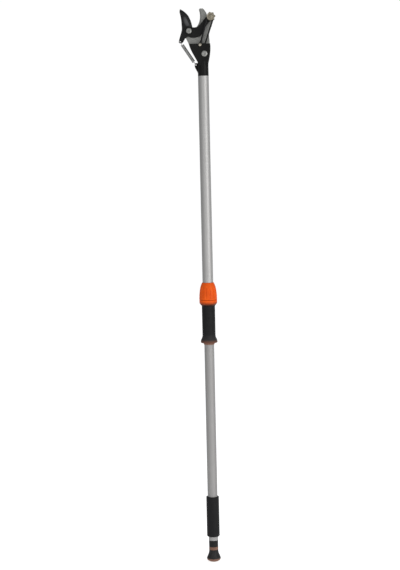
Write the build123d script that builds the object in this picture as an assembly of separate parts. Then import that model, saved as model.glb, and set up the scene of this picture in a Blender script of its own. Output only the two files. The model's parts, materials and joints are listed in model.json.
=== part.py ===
"""Telescoping pole pruner with a rope-driven bypass cutting head.

Millimetres. +Z runs up the pole axis, +X to the hook's side of the jaw, and -Y is the face that
carries the pulley. The origin is the middle of the small flat under the end knob.
"""

from build123d import *
import os
from math import asin, atan2, cos, degrees, hypot, pi, radians, sin

# ---- pole tubes ----
OUTER_R = 16.0  # upper tube, outside
OUTER_BORE_R = 14.8
OUTER_Z = (800.0, 1457.0)
INNER_R = 14.7  # lower tube, a running fit in the upper one
INNER_BORE_R = 13.5
INNER_Z = (75.0, 1190.0)
KEY_SLOT_W = 8.0  # slot in the back of the lower tube for the slider's key
KEY_SLOT_Z = (350.0, 1005.0)
TOP_BUSH_R = 14.75
TOP_BUSH_BORE_R = 12.3
TOP_BUSH_CAP = 8.0
TOP_BUSH_DEPTH = 18.0

# ---- lower grip and end bush ----
GRIP_R = 19.0
GRIP_Z = (75.6, 195.0)
BUSH_RING_R = 14.1
BUSH_Z = (64.0, 75.0, 105.0)
BUSH_BORE_R = 11.6

# ---- end knob ----
FOOT_R = 7.0
STEM_ROD_R = 11.5
STEM_BORE_R = 8.0
STEM_NECK_R = 13.7
STEM_Z = (44.5, 63.6, 230.0)  # neck's bottom, neck's top, rod's top
KNOB_BAND_R = 13.8
KNOB_BAND_Z = (35.5, 44.5)
KNOB_FLARE_R = 20.9
CAP_TOP_Z = 10.2
STUD_R = 5.0
CAP_CORNER = (17.8, 3.8)
STOP_R = 4.2
STOP_LENGTH = 12.0

# ---- slider ----
SLIDER_Z = (658.0, 769.0)
SLIDER_BORE_R = 15.0
SLIDER_CORE_R = 17.0
SLIDER_GRIP_R = 19.6
SLIDER_FLARE_R = 25.0
SLIDER_RING_R = 16.3
SLIDER_RING_Z = (652.6, 658.0)
RIB_Z = (684.0, 763.0)
SLIDER_RIBS = 36
CLAMP_Z = (685.0, 715.0)
CLAMP_FLOOR_Z = 693.0  # lower end of the driving rope in the clamp
CLAMP_R = 12.9
KEY_W = 7.0

# ---- twist lock ----
LOCK_Z = (769.5, 826.0)
LOCK_RING_TOP_Z = 786.3
LOCK_RING_R = 26.6
LOCK_SLEEVE_R = 18.4
NUT_Z = (787.1, 838.6)
NUT_BASE_R = 26.7
NUT_BORE_R = 18.8
NUT_MOUTH_R = 16.3
NUT_FLUTES = 14
COLLET_Z = (776.0, 799.6)
COLLET_R = 17.2
WIPER_TOP_Z = 775.5

# ---- head: layers across the pole, front (-Y) to back ----
PIVOT_WASHER_Y = (-1.7, -0.4)
ROPE_Y = -6.0
KEEPER_Y = (-1.9, -0.3)
LEVER_Y = (-0.3, 2.8)
BLADE_Y = (2.8, 5.9)
HOOK_Y = (6.0, 10.0)
AXLE_NUT_Y = (2.8, 5.7)
PIVOT_NUT_Y = (11.2, 17.4)
HOUSING_Y = (-14.5, 14.5)
CHAMBER_Y = (-11.0, 6.0)
SPLIT_Y = 8.0

# ---- head: places in the X, Z plane ----
PIVOT = (-40.5, 1593.0)
WHEEL = (25.5, 1634.0)
ROLLER = (4.5, 1523.0)
ANCHOR = (-8.0, 1549.5)
TAIL_HOLE = (-67.0, 1561.0)
EAR_HOLE = (-21.5, 1491.0)
HOUSING_TOP_Z = 1553.0
HOUSING_NECK_Z = 1500.0
SPIGOT_Z = 1418.0  # foot of the spigot inside the upper tube
NECK_BORE_R = 10.0
HOUSING_SCREWS = [(-31.0, 1546.0), (-21.0, 1526.0)]
TANG = [(-42.0, 1555.0), (-38.0, 1545.0), (-17.0, 1503.0), (11.0, 1503.0), (18.0, 1530.0), (21.6, 1553.0)]
CUTTING_EDGE = [(-65.6, 1659.2), (-54.4, 1652.4), (-42.4, 1640.4), (-34.4, 1624.2), (-29.5, 1604.0)]
BEVEL_LINE = [(-66.6, 1654.6), (-59.0, 1647.2), (-49.6, 1635.4), (-41.6, 1620.0), (-35.5, 1603.0)]
BLADE_LAND = 0.6  # thickness left at the cutting edge
BLADE_RIVETS = [(-27.0, 1583.0), (-24.5, 1595.0)]

# ---- rope, pulley and roller ----
ROPE_R = 2.5
ROPE_GAP = 0.2
WHEEL_ROPE_R = 9.2  # from the wheel's centre to the rope's centreline
WHEEL_DISC_R = 11.7
WHEEL_Y = (-10.7, -2.1)
ROLLER_ROPE_R = 7.2
ROLLER_FLANGE_R = 8.6
ROLLER_Y = (-9.8, -2.2)
AXLE_R = 3.0
RUN_GAP = 0.05  # radial gap of a running fit
UPPER_ROPE_XY = (ROLLER[0] - ROLLER_ROPE_R, ROPE_Y)
ROPE_DROP_Z = 1513.0  # where the head's rope hands over to the rope in the tubes
LOWER_ROPE_XY = (5.0, -2.0)
LOWER_ROPE_TOP_Z = 1030.0
ROPE_SOCKET = 15.0  # length of lower rope held in the knob's rod
FERRULE_LENGTH = 10.0
FERRULE_HALF_W = 4.0
KEEPER_ANGLES = (103.0, 55.0, 7.0, -43.0)  # lobes; the first three carry posts
KEEPER_LOBE_R = 3.6
KEEPER_LOBE_AT = 10.9
KEEPER_POST_R = 1.0
KEEPER_POST_AT = 13.05

# ---- fasteners ----
PIVOT_R = 4.0
PIVOT_BUSH_R = 6.0
PIVOT_HEAD_R = 8.4
HOUSING_HEAD_R = 9.0
HOUSING_HEAD_Y = -13.0  # under the bolt's head
HOUSING_NUT_Y = 11.5
HOUSING_NUT_AF = 10.0
SCREW_R = 2.0
SCREW_HEAD_H = 2.2
SCREW_END_Y = -6.0
ANCHOR_PIN_R = 2.0
TUBE_SCREW_Z = (1445.0, 1430.0)

# ---- return spring ----
SPRING_R = 5.0
SPRING_WIRE_R = 0.75
SPRING_EYE_R = 3.7
SPRING_COIL = (11.0, 72.5)  # the coil's ends, measured from the tail hole
SPRING_Y = (BLADE_Y[0] + BLADE_Y[1]) / 2
HOOK_HOLE_R = 1.9


# ---------------------------------------------------------------- helpers
def ring(outer, inner, z0, z1):
    """A tube about the pole axis."""
    return Pos(0, 0, z0) * extrude(Circle(outer) - Circle(inner), z1 - z0)


def bar(radius, z0, z1, x=0.0, y=0.0):
    """A round bar along Z."""
    return Pos(x, y, z0) * extrude(Circle(radius), z1 - z0)


def block(x0, x1, y0, y1, z0, z1):
    """A box from its six limits."""
    centre = Pos((x0 + x1) / 2, (y0 + y1) / 2, (z0 + z1) / 2)
    return centre * Box(x1 - x0, y1 - y0, z1 - z0)


def slab(outline, y0, y1):
    """A flat outline in X, Z, thickened from y0 to y1."""
    return extrude(Plane.XZ.offset(-y1) * outline, y1 - y0)


def cross_bar(centre, radius, y0, y1):
    """A round bar along Y through a point of the X, Z plane."""
    return slab(Pos(*centre) * Circle(radius), y0, y1)


def cross_turned(centre, profile):
    """A piece turned about a Y axis through centre, from (radius, y) points."""
    face = make_face(Polyline(profile, close=True))
    return Pos(centre[0], 0, centre[1]) * revolve(face, Axis.Y)


def cross_hexagon(centre, across_flats, y0, y1):
    """A nut's or socket's hexagon along Y."""
    outline = RegularPolygon(across_flats / 2, 6, major_radius=False)
    return slab(Pos(*centre) * outline, y0, y1)


def turned(profile):
    """A piece turned about the pole axis, from (radius, z) points."""
    return revolve(Plane.XZ * make_face(Polyline(profile, close=True)), Axis.Z)


def polar(centre, radius, angle):
    """A point at an angle in degrees from +X."""
    return (centre[0] + radius * cos(radians(angle)), centre[1] + radius * sin(radians(angle)))


def round_rims(shape, over):
    """The circular edges wider than a radius, lowest first."""
    circles = shape.edges().filter_by(GeomType.CIRCLE)
    return circles.filter_by(lambda e: e.radius > over).sort_by(Axis.Z)


def group(pieces):
    """Several separate solids kept together in one node."""
    return Compound(children=[solid for piece in pieces for solid in piece.solids()])


# ---------------------------------------------------------------- pole
def inner_tube():
    slot = block(-KEY_SLOT_W / 2, KEY_SLOT_W / 2, 0, OUTER_R, *KEY_SLOT_Z)
    return ring(INNER_R, INNER_BORE_R, *INNER_Z) - slot


def outer_tube():
    tube = ring(OUTER_R, OUTER_BORE_R, *OUTER_Z)
    for z in TUBE_SCREW_Z:
        tube -= cross_bar((0, z), SCREW_R, 0, OUTER_R + 1)
    return tube


def tube_top_bush():
    """Plastic ring on top of the lower tube, which guides it in the upper one."""
    top = INNER_Z[1]
    cap = ring(TOP_BUSH_R, TOP_BUSH_BORE_R, top, top + TOP_BUSH_CAP)
    return cap + ring(INNER_BORE_R, TOP_BUSH_BORE_R, top - TOP_BUSH_DEPTH, top)


def lower_grip():
    grip = ring(GRIP_R, INNER_R, *GRIP_Z)
    grip = fillet(round_rims(grip, GRIP_R - 0.1)[0], 3.2)
    return fillet(round_rims(grip, GRIP_R - 0.1)[-1], 1.6)


def end_bush():
    """Bush in the lower tube's foot, which the knob's rod slides in."""
    bottom, shoulder, top = BUSH_Z
    return ring(BUSH_RING_R, BUSH_BORE_R, bottom, shoulder) + ring(INNER_BORE_R, BUSH_BORE_R, shoulder, top)


# ---------------------------------------------------------------- end knob
def knob_stem():
    """Neck and hollow rod of the end knob; the rod slides in the end bush."""
    bottom, neck_top, rod_top = STEM_Z
    stem = bar(STEM_NECK_R, bottom, neck_top) + bar(STEM_ROD_R, neck_top, rod_top)
    stem += bar(STUD_R, CAP_TOP_Z, bottom)
    stem -= bar(STEM_BORE_R, neck_top, rod_top - ROPE_SOCKET)
    return stem - bar(ROPE_R, rod_top - ROPE_SOCKET, rod_top, *LOWER_ROPE_XY)


def knob_band():
    band = ring(KNOB_BAND_R, STUD_R, *KNOB_BAND_Z)
    return fillet(round_rims(band, STUD_R + 1), 0.8)


def knob_body():
    """Flared black body that stops the hand."""
    top = KNOB_BAND_Z[0]
    neck = (KNOB_BAND_R - 0.1, top)
    edge = (KNOB_FLARE_R, CAP_TOP_Z)
    side = Spline(neck, (14.5, 27.5), (16.8, 20.5), (19.3, 15.0), edge)
    rest = Polyline(edge, (STUD_R, CAP_TOP_Z), (STUD_R, top), neck)
    return revolve(Plane.XZ * make_face([side, *rest.edges()]), Axis.Z)


def knob_cap():
    """Domed end plate with a small flat foot."""
    edge = (KNOB_FLARE_R, CAP_TOP_Z)
    corner = ThreePointArc(edge, (20.0, 6.5), CAP_CORNER)
    dome = ThreePointArc(CAP_CORNER, (12.6, 1.15), (FOOT_R, 0))
    rest = Polyline((FOOT_R, 0), (0, 0), (0, CAP_TOP_Z), edge)
    return revolve(Plane.XZ * make_face([corner, dome, *rest.edges()]), Axis.Z)


def rope_stop():
    """Crimped sleeve that holds the rope's lower end above the knob's rod."""
    x, y = LOWER_ROPE_XY
    top = STEM_Z[2]
    return bar(STOP_R, top, top + STOP_LENGTH, x, y) - bar(ROPE_R, top, top + STOP_LENGTH, x, y)


def rope_lower():
    """Rope from the knob up through the slider's clamp, with a spare tail above it."""
    return bar(ROPE_R, STEM_Z[2] - ROPE_SOCKET, LOWER_ROPE_TOP_Z, *LOWER_ROPE_XY)


# ---------------------------------------------------------------- slider
def key_shape(width, reach):
    """The neck that joins the rope clamp to the slider through the tube's slot."""
    return block(-width / 2, width / 2, CLAMP_R - 3, reach, *CLAMP_Z)


def slider_core():
    core = ring(SLIDER_CORE_R, SLIDER_BORE_R, *SLIDER_Z)
    return core - key_shape(KEY_W, SLIDER_CORE_R + 1)


def slider_grip():
    """Rubber sleeve with fine ribs along it and a flared hand stop at its foot."""
    bottom, top = SLIDER_Z
    edge = (SLIDER_FLARE_R, bottom + 3.4)
    shoulder = (SLIDER_GRIP_R, 680.5)
    flare = Spline(edge, (24.7, 664.8), (23.4, 668.5), (21.4, 672.5), (20.1, 676.5), shoulder)
    under = ThreePointArc((23.2, bottom), (24.5, bottom + 0.9), edge)
    body = Polyline(
        shoulder,
        (SLIDER_GRIP_R + 0.2, top - 0.8),
        (SLIDER_GRIP_R - 0.6, top),
        (SLIDER_CORE_R, top),
        (SLIDER_CORE_R, bottom),
        (23.2, bottom),
    )
    sleeve = revolve(Plane.XZ * make_face([flare, *body.edges(), under]), Axis.Z)
    groove = Pos(SLIDER_GRIP_R + 0.5, 0, sum(RIB_Z) / 2) * Box(1.4, 1.3, RIB_Z[1] - RIB_Z[0])
    for i in range(SLIDER_RIBS):
        sleeve -= Rot(0, 0, 360 * i / SLIDER_RIBS) * groove
    return sleeve


def slider_ring():
    """Slim orange ring that closes the core's foot."""
    lip = ring(SLIDER_RING_R, SLIDER_BORE_R, *SLIDER_RING_Z)
    return chamfer(round_rims(lip, SLIDER_BORE_R + 0.1)[0], 0.6)


def rope_clamp():
    """Block inside the lower tube: grips the driving rope, keyed to the slider through the slot."""
    clamp = bar(CLAMP_R, *CLAMP_Z) + key_shape(KEY_W, SLIDER_CORE_R - 0.4)
    clamp -= bar(ROPE_R, CLAMP_FLOOR_Z, CLAMP_Z[1], *UPPER_ROPE_XY)
    return clamp - bar(ROPE_R + 0.4, *CLAMP_Z, *LOWER_ROPE_XY)


def rope_upper():
    """Driving rope inside the tubes, from the head down to the clamp."""
    return bar(ROPE_R, CLAMP_FLOOR_Z, ROPE_DROP_Z, *UPPER_ROPE_XY)


# ---------------------------------------------------------------- twist lock
def lock_body():
    """Ring and sleeve fixed on the upper tube's foot; the sleeve runs up inside the nut."""
    bottom, top = LOCK_Z
    body = turned(
        [
            (20.6, bottom),
            (23.4, bottom + 3.4),
            (26.0, bottom + 6.6),
            (LOCK_RING_R, bottom + 8.6),
            (LOCK_RING_R, LOCK_RING_TOP_Z - 0.6),
            (LOCK_RING_R - 0.6, LOCK_RING_TOP_Z),
            (LOCK_SLEEVE_R, LOCK_RING_TOP_Z),
            (LOCK_SLEEVE_R, top),
            (OUTER_R, top),
            (OUTER_R, OUTER_Z[0]),
            (COLLET_R, OUTER_Z[0]),
            (COLLET_R, WIPER_TOP_Z),
            (19.0, WIPER_TOP_Z),
            (19.0, bottom),
        ]
    )
    return body


def wiper_ring():
    """Dark ring that wipes the lower tube."""
    return ring(19.0, SLIDER_BORE_R, LOCK_Z[0] + 0.2, WIPER_TOP_Z)


def collet():
    """Split ring that the nut closes on the lower tube."""
    body = ring(COLLET_R, OUTER_BORE_R, *COLLET_Z)
    slit = block(-0.8, 0.8, 0, COLLET_R + 1, COLLET_Z[0] + 4, COLLET_Z[1])
    for i in range(6):
        body -= Rot(0, 0, 60 * i + 30) * slit
    return body


def collar_nut():
    """Fluted, barrel-shaped nut of the twist lock, with a rounded top."""
    bottom, top = NUT_Z
    base = (NUT_BASE_R, bottom + 5.0)
    side = Spline(base, (26.3, 801.0), (25.0, 813.0), (22.9, 825.0), (20.7, 831.6), (18.0, top - 1.2))
    rest = Polyline(
        (18.0, top - 1.2),
        (17.2, top),
        (NUT_MOUTH_R, top),
        (NUT_MOUTH_R, top - 8),
        (NUT_BORE_R, top - 9.5),
        (NUT_BORE_R, bottom),
        (NUT_BASE_R - 0.6, bottom),
        (NUT_BASE_R, bottom + 0.6),
        base,
    )
    nut = revolve(Plane.XZ * make_face([side, *rest.edges()]), Axis.Z)
    flute = Pos(25.3, 0, 813.5) * Rot(0, -7.2, 0) * Cylinder(1.9, 44)
    for i in range(NUT_FLUTES):
        nut -= Rot(0, 0, 360 * i / NUT_FLUTES) * flute
    return nut


# ---------------------------------------------------------------- head: plates
def hook_outline():
    """Fixed counter-blade: hook on the right, concave mouth, boss at the pivot, tang in the housing."""
    mouth = Spline((-8.8, 1656.5), (-6.1, 1635.0), (-10.0, 1616.5), (-18.0, 1604.5), (-28.0, 1600.5))
    boss = ThreePointArc((-28.0, 1600.5), (-43.0, 1606.5), (-54.0, 1593.0))
    tang = Polyline((-54.0, 1593.0), (-53.5, 1580.0), *TANG, (19.8, 1580.0), (22.5, 1598.0))
    flank = Spline((22.5, 1598.0), (30.0, 1616.0), (27.0, 1628.0), (15.0, 1639.0))
    back = Spline((15.0, 1639.0), (11.0, 1650.0), (2.6, 1660.0))
    tip = Polyline((2.6, 1660.0), (-6.4, 1660.0), (-8.8, 1656.5))
    return make_face([mouth, boss, *tang.edges(), flank, back, *tip.edges()])


def hook_plate():
    plate = slab(hook_outline(), *HOOK_Y)
    plate -= cross_bar(PIVOT, PIVOT_R, *HOOK_Y)
    plate -= cross_bar(ROLLER, AXLE_R, *HOOK_Y)
    for place in HOUSING_SCREWS:
        plate -= cross_bar(place, SCREW_R, *HOOK_Y)
    return plate


def blade_outline(edge):
    """The blade and its tail, with the convex edge given by its points."""
    root = Polyline(edge[-1], (-18.0, 1600.0), (-18.0, 1577.0), (-44.0, 1575.5))
    tail = Spline((-44.0, 1575.5), (-48.0, 1574.0), (-53.2, 1568.4), (-58.0, 1560.5))
    tail_end = ThreePointArc((-58.0, 1560.5), (-64.2, 1556.5), (-71.3, 1559.0))
    lower_back = Spline((-71.3, 1559.0), (-67.4, 1576.0), (-62.4, 1593.0), (-61.8, 1610.0))
    upper_back = Spline((-61.8, 1610.0), (-62.9, 1628.0), (-65.6, 1643.0), (-67.3, 1650.0))
    tip = Line((-67.3, 1650.0), edge[0])
    return make_face([Spline(*edge), *root.edges(), tail, tail_end, lower_back, upper_back, tip])


def cutting_blade():
    """Coated blade with a bevelled convex edge, and the tail that the return spring pulls."""
    land_y = BLADE_Y[1] - BLADE_LAND
    bevelled = Plane.XZ.offset(-BLADE_Y[0]) * blade_outline(BEVEL_LINE)
    sharp = Plane.XZ.offset(-land_y) * blade_outline(CUTTING_EDGE)
    blade = loft([bevelled, sharp], ruled=True) + slab(blade_outline(CUTTING_EDGE), land_y, BLADE_Y[1])
    blade -= cross_bar(PIVOT, PIVOT_BUSH_R, *BLADE_Y)
    blade -= cross_bar(TAIL_HOLE, HOOK_HOLE_R, *BLADE_Y)
    for place in BLADE_RIVETS:
        blade -= cross_bar(place, SCREW_R, *BLADE_Y)
    return blade


def lever_arm():
    """Crossbar from the pivot to the pulley, carried in front of the hook plate."""
    top = Spline((-30.0, 1604.0), (-15.0, 1605.0), (0.0, 1619.0), (17.0, 1637.0))
    head = ThreePointArc((17.0, 1637.0), polar(WHEEL, 8.5, 60), (30.0, 1626.5))
    belly = Spline((30.0, 1626.5), (17.0, 1614.0), (5.0, 1594.5), (-5.0, 1579.0), (-16.0, 1574.0))
    foot = Spline((-16.0, 1574.0), (-32.0, 1573.0), (-46.0, 1578.0))
    boss = ThreePointArc((-46.0, 1578.0), polar(PIVOT, 14.5, 170), (-44.0, 1607.0))
    shoulder = Line((-44.0, 1607.0), (-30.0, 1604.0))
    arm = slab(make_face([top, head, belly, foot, boss, shoulder]), *LEVER_Y)
    arm -= cross_bar(PIVOT, PIVOT_BUSH_R, *LEVER_Y)
    arm -= cross_bar(WHEEL, AXLE_R, *LEVER_Y)
    for place in BLADE_RIVETS:
        arm -= cross_bar(place, SCREW_R, *LEVER_Y)
    return arm


def pivot_bush():
    """Bronze bush in the blade and the lever, which turns on the pivot bolt."""
    bore = PIVOT_R + RUN_GAP
    return cross_bar(PIVOT, PIVOT_BUSH_R, LEVER_Y[0], BLADE_Y[1]) - cross_bar(
        PIVOT, bore, LEVER_Y[0], BLADE_Y[1]
    )


def blade_rivets():
    """Rivets that join the blade's root to the lever, flush at both faces."""
    return group([cross_bar(place, SCREW_R, LEVER_Y[0], BLADE_Y[1]) for place in BLADE_RIVETS])


# ---------------------------------------------------------------- head: pulley
def rope_keeper():
    """Plate behind the pulley with rounded lobes and posts that keep the rope in its groove."""
    outline = Circle(10.5)
    for angle in KEEPER_ANGLES:
        outline += Pos(*polar((0, 0), KEEPER_LOBE_AT, angle)) * Circle(KEEPER_LOBE_R)
    keeper = slab(Pos(*WHEEL) * outline, *KEEPER_Y)
    for angle in KEEPER_ANGLES[:3]:
        post = polar(WHEEL, KEEPER_POST_AT, angle)
        keeper += cross_bar(post, KEEPER_POST_R, -9.6, KEEPER_Y[0])
    return keeper - cross_bar(WHEEL, AXLE_R, *KEEPER_Y)


def grooved(centre, rope_radius, flange_radius, bore, y0, y1):
    """A wheel with a round groove for the rope."""
    wheel = cross_bar(centre, flange_radius, y0, y1) - cross_bar(centre, bore, y0, y1)
    groove_r = ROPE_R + ROPE_GAP
    groove = Pos(centre[0], ROPE_Y, centre[1]) * Rot(90, 0, 0) * Torus(rope_radius, groove_r)
    mouth = cross_bar(centre, flange_radius + 1, ROPE_Y - groove_r, ROPE_Y + groove_r)
    mouth -= cross_bar(centre, rope_radius, ROPE_Y - groove_r, ROPE_Y + groove_r)
    return wheel - groove - mouth


def pulley_wheel():
    wheel = grooved(WHEEL, WHEEL_ROPE_R, WHEEL_DISC_R, AXLE_R + RUN_GAP, *WHEEL_Y)
    recess = cross_bar(WHEEL, 9.4, WHEEL_Y[0], WHEEL_Y[0] + 0.7)
    recess -= cross_bar(WHEEL, 7.0, WHEEL_Y[0], WHEEL_Y[0] + 0.7)
    return wheel - recess


def guide_roller():
    return grooved(ROLLER, ROLLER_ROPE_R, ROLLER_FLANGE_R, AXLE_R + RUN_GAP, *ROLLER_Y)


def pulley_axle():
    """Shouldered bolt that carries the pulley on the lever."""
    front = WHEEL_Y[0] - 0.2
    profile = [
        (0, front - 2.8),
        (3.6, front - 2.6),
        (5.4, front - 1.6),
        (5.9, front - 0.6),
        (5.9, front),
        (AXLE_R, front),
        (AXLE_R, AXLE_NUT_Y[1]),
        (0, AXLE_NUT_Y[1]),
    ]
    socket = cross_hexagon(WHEEL, 3.2, front - 2.8, front - 0.8)
    return cross_turned(WHEEL, profile) - socket


def axle_nut():
    """Thin nut behind the lever."""
    return cross_hexagon(WHEEL, 9.5, *AXLE_NUT_Y) - cross_bar(WHEEL, AXLE_R, *AXLE_NUT_Y)


# ---------------------------------------------------------------- head: pivot bolt
def bolt(centre, head_r, shank_r, head_y, shank_end_y, rise):
    """Bolt along Y with a low domed head and a hexagon socket."""
    profile = [
        (0, head_y - rise),
        (head_r * 0.72, head_y - rise),
        (head_r * 0.94, head_y - rise * 0.72),
        (head_r, head_y - rise * 0.4),
        (head_r, head_y),
        (shank_r, head_y),
        (shank_r, shank_end_y),
        (0, shank_end_y),
    ]
    socket = cross_hexagon(centre, head_r * 0.62, head_y - rise, head_y - rise * 0.35)
    return cross_turned(centre, profile) - socket


def washer(centre, outer, inner, y0, y1):
    return cross_bar(centre, outer, y0, y1) - cross_bar(centre, inner, y0, y1)


def pivot_bolt():
    return bolt(PIVOT, PIVOT_HEAD_R, PIVOT_R, PIVOT_WASHER_Y[0], PIVOT_NUT_Y[1] + 1.5, 3.6)


def pivot_washers():
    front = washer(PIVOT, PIVOT_HEAD_R - 0.3, PIVOT_R, *PIVOT_WASHER_Y)
    back = washer(PIVOT, 8.0, PIVOT_R, HOOK_Y[1], PIVOT_NUT_Y[0])
    return group([front, back])


def pivot_nut():
    return cross_hexagon(PIVOT, 13.0, *PIVOT_NUT_Y) - cross_bar(PIVOT, PIVOT_R, *PIVOT_NUT_Y)


# ---------------------------------------------------------------- head: housing
def housing_outline():
    """The housing's face: sloped left side, near upright right side, narrow neck."""
    left = Spline((-16.0, 1499.0), (-19.0, 1505.0), (-25.5, 1517.0), (-41.0, HOUSING_TOP_Z))
    top = Line((-41.0, HOUSING_TOP_Z), (22.6, HOUSING_TOP_Z))
    right = Spline((22.6, HOUSING_TOP_Z), (22.6, 1530.0), (19.5, 1510.0), (16.0, 1495.0))
    foot = Polyline((16.0, 1495.0), (16.0, 1488.0), (-16.0, 1488.0), (-16.0, 1499.0))
    return make_face([left, top, right, *foot.edges()])


def ear_outline():
    """Lug on the neck's left side for the return spring."""
    side = Spline((-18.5, 1496.4), (-23.4, 1495.6), (-25.2, 1490.5), (-22.2, 1479.0), (-15.6, 1459.5))
    back = Polyline((-15.6, 1459.5), (-12.0, 1459.5), (-12.0, 1496.4), (-18.5, 1496.4))
    return make_face([side, *back.edges()])


def housing_body():
    """Both housing halves before the split: flared head, round neck, spigot, lug and hollows."""
    head = slab(housing_outline(), *HOUSING_Y)
    rims = head.edges().filter_by(lambda e: abs(abs(e.center().Y) - HOUSING_Y[1]) < 0.01)
    head = fillet(rims.filter_by(GeomType.BSPLINE), 3.0)
    rims = head.edges().filter_by(lambda e: abs(abs(e.center().Y) - HOUSING_Y[1]) < 0.01)
    head = chamfer(rims.filter_by(lambda e: abs(e.center().Z - HOUSING_TOP_Z) < 0.01), 1.0)
    neck = bar(OUTER_R, OUTER_Z[1], HOUSING_NECK_Z)
    spigot = bar(OUTER_BORE_R, SPIGOT_Z, OUTER_Z[1])
    body = head + neck + spigot + slab(ear_outline(), *BLADE_Y)
    body -= bar(NECK_BORE_R, SPIGOT_Z - 1, ROPE_DROP_Z)
    body -= slab(chamber_outline(), *CHAMBER_Y)
    body -= block(0, 30, ROPE_Y - 4, ROPE_Y + 4, 1534, HOUSING_TOP_Z + 1)
    body -= slab(tang_pocket(), *HOOK_Y)
    body -= cross_bar(ROLLER, AXLE_R, *HOUSING_Y)
    body -= cross_bar(ROLLER, HOUSING_HEAD_R + 0.8, HOUSING_Y[0], HOUSING_HEAD_Y)
    body -= cross_hexagon(ROLLER, HOUSING_NUT_AF + 0.6, HOUSING_NUT_Y, HOUSING_Y[1])
    body -= cross_bar(ANCHOR, ANCHOR_PIN_R, *HOUSING_Y)
    body -= cross_bar(EAR_HOLE, HOOK_HOLE_R, *BLADE_Y)
    for place in HOUSING_SCREWS:
        body -= cross_bar(place, SCREW_R, SCREW_END_Y, HOUSING_Y[1])
        body -= cross_bar(place, SCREW_R * 2 + 0.2, HOUSING_Y[1] - SCREW_HEAD_H, HOUSING_Y[1])
    for z in TUBE_SCREW_Z:
        body -= cross_bar((0, z), SCREW_R, 0, OUTER_R)
    return body


def tang_pocket():
    """The part of the hook plate's outline that lies inside the housing."""
    return make_face(Polyline([(-44.3, 1560.0), *TANG, (21.6, 1560.0)], close=True))


def chamber_outline():
    """The hollow in the front half that holds the rope, the roller and the rope's ferrule."""
    points = [
        (-16.0, HOUSING_TOP_Z + 1),
        (-16.0, 1539.0),
        (-6.5, 1533.0),
        (-6.5, 1508.0),
        (14.5, 1508.0),
        (17.0, 1534.0),
        (18.0, HOUSING_TOP_Z + 1),
    ]
    return make_face(Polyline(points, close=True))


def housing_front(body):
    return body & block(-80, 60, -30, SPLIT_Y, SPIGOT_Z - 1, HOUSING_TOP_Z + 1)


def housing_rear(body):
    return body & block(-80, 60, SPLIT_Y, 30, SPIGOT_Z - 1, HOUSING_TOP_Z + 1)


def housing_bolt():
    return bolt(ROLLER, HOUSING_HEAD_R, AXLE_R, HOUSING_HEAD_Y, HOUSING_Y[1] - 0.3, 3.4)


def housing_nut():
    height = (HOUSING_NUT_Y, HOUSING_Y[1] - 0.5)
    return cross_hexagon(ROLLER, HOUSING_NUT_AF, *height) - cross_bar(ROLLER, AXLE_R, *height)


def roller_spacers():
    """Thin washers each side of the guide roller."""
    front = washer(ROLLER, 5.0, AXLE_R, CHAMBER_Y[0], ROLLER_Y[0] - 0.1)
    back = washer(ROLLER, 5.0, AXLE_R, ROLLER_Y[1] + 0.1, CHAMBER_Y[1])
    return group([front, back])


def housing_screws():
    """Pan head screws that clamp the two halves on the hook plate, driven from the back."""
    screws = []
    for place in HOUSING_SCREWS:
        head = cross_bar(place, SCREW_R * 2, HOUSING_Y[1] - SCREW_HEAD_H, HOUSING_Y[1] - 0.2)
        shank = cross_bar(place, SCREW_R, SCREW_END_Y, HOUSING_Y[1] - SCREW_HEAD_H)
        slot = block(place[0] - 3, place[0] + 3, 13.2, 14.6, place[1] - 0.5, place[1] + 0.5)
        screws.append(head + shank - slot)
    return group(screws)


def tube_screws():
    """Countersunk screws through the tube's back into the housing's spigot."""
    screws = []
    for z in TUBE_SCREW_Z:
        screw = cross_bar((0, z), SCREW_R, NECK_BORE_R + 0.5, OUTER_R + 0.4)
        screws.append(screw + cross_bar((0, z), SCREW_R * 1.7, OUTER_R + 0.2, OUTER_R + 1.2))
    return group(screws)


# ---------------------------------------------------------------- head: rope
def rope_path():
    """The rope's route in the head: anchor, over the pulley, down past the guide roller."""
    to_wheel = (WHEEL[0] - ANCHOR[0], WHEEL[1] - ANCHOR[1])
    reach = hypot(*to_wheel)
    up = degrees(atan2(to_wheel[1], to_wheel[0]) + asin(WHEEL_ROPE_R / reach))
    between = (WHEEL[0] - ROLLER[0], WHEEL[1] - ROLLER[1])
    crossing = asin((WHEEL_ROPE_R + ROLLER_ROPE_R) / hypot(*between))
    down = degrees(atan2(between[1], between[0]) - crossing)
    return up, down


def rope_head():
    up, down = rope_path()
    start = polar(ANCHOR, FERRULE_LENGTH, up)
    wheel_in = polar(WHEEL, WHEEL_ROPE_R, up + 90)
    wheel_out = polar(WHEEL, WHEEL_ROPE_R, down - 90)
    roller_in = polar(ROLLER, ROLLER_ROPE_R, down + 90)
    roller_out = polar(ROLLER, ROLLER_ROPE_R, 180)
    route = [
        Line(start, wheel_in),
        CenterArc(WHEEL, WHEEL_ROPE_R, up + 90, down - up - 180),
        Line(wheel_out, roller_in),
        CenterArc(ROLLER, ROLLER_ROPE_R, down + 90, 90 - down),
        Line(roller_out, (roller_out[0], ROPE_DROP_Z)),
    ]
    place = Plane.XZ.offset(-ROPE_Y)
    wire = Wire([place * piece.edge() for piece in route])
    section = Plane(origin=wire @ 0, z_dir=wire % 0) * Circle(ROPE_R)
    rope = sweep(section, path=wire)
    ideal = pi * ROPE_R**2 * wire.length
    print(f"rope_head volume {rope.volume:.1f}, section times length {ideal:.1f}")
    return rope


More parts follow.
